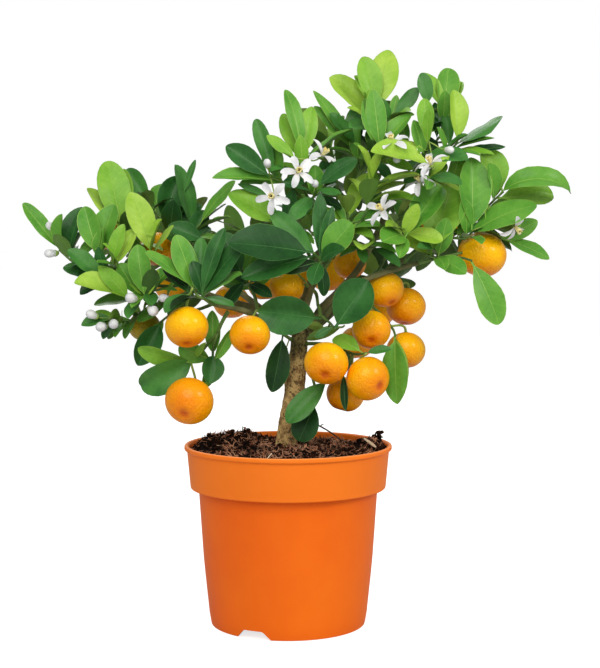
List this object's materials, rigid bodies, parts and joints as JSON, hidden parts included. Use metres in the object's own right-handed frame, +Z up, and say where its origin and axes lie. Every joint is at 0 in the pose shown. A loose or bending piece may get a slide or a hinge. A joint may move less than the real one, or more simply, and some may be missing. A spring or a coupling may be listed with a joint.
{
  "type": "potted malta orange tree",
  "caption": "Small evergreen citrus tree in a round plastic nursery pot, with a leaning trunk, spreading boughs, glossy leaf whorls, hanging orange fruit and white blossom.",
  "frame": {"origin": "centre of the pot's flat underside, on the ground", "axes": "+Z up along the pot's axis, -Y towards the side with most of the hanging fruit, +X to that side's right"},
  "size_m": [0.39, 0.2022, 0.415],
  "materials": {
    "pot_plastic": "satin terracotta-orange plastic",
    "potting_soil": "moist, fibrous dark brown potting mix",
    "bark": "grey-brown speckled bark",
    "green_wood": "greenish young bark",
    "foliage": "glossy green leaves, with orange fruit and white blossom fused on"
  },
  "bodies": {
    "root": {"pot": "pot_plastic", "soil": "potting_soil", "trunk": "bark", "bough_middle": "green_wood", "bough_left": "green_wood", "bough_left_front": "green_wood", "bough_front": "green_wood", "bough_right": "green_wood", "bough_right_low": "green_wood", "bough_back": "green_wood", "bough_back_left": "green_wood", "bough_back_right": "green_wood", "left_tip": "foliage", "left_mid": "foliage", "left_top": "foliage", "left_ridge": "foliage", "left_low": "foliage", "left_front": "foliage", "left_hang": "foliage", "left_under": "foliage", "left_inner": "foliage", "centre_left": "foliage", "centre_front": "foliage", "centre_right_front": "foliage", "centre_low": "foliage", "top": "foliage", "top_right": "foliage", "right_mid": "foliage", "right_up": "foliage", "right_low": "foliage", "fruit_low": "foliage", "fruit_right": "foliage", "fruit_inner": "foliage", "trunk_shoot": "foliage", "trunk_leaf": "foliage", "back_top": "foliage", "back_centre": "foliage", "back_left": "foliage", "back_left_low": "foliage", "back_right": "foliage", "back_right_low": "foliage"}
  },
  "joints": []
}
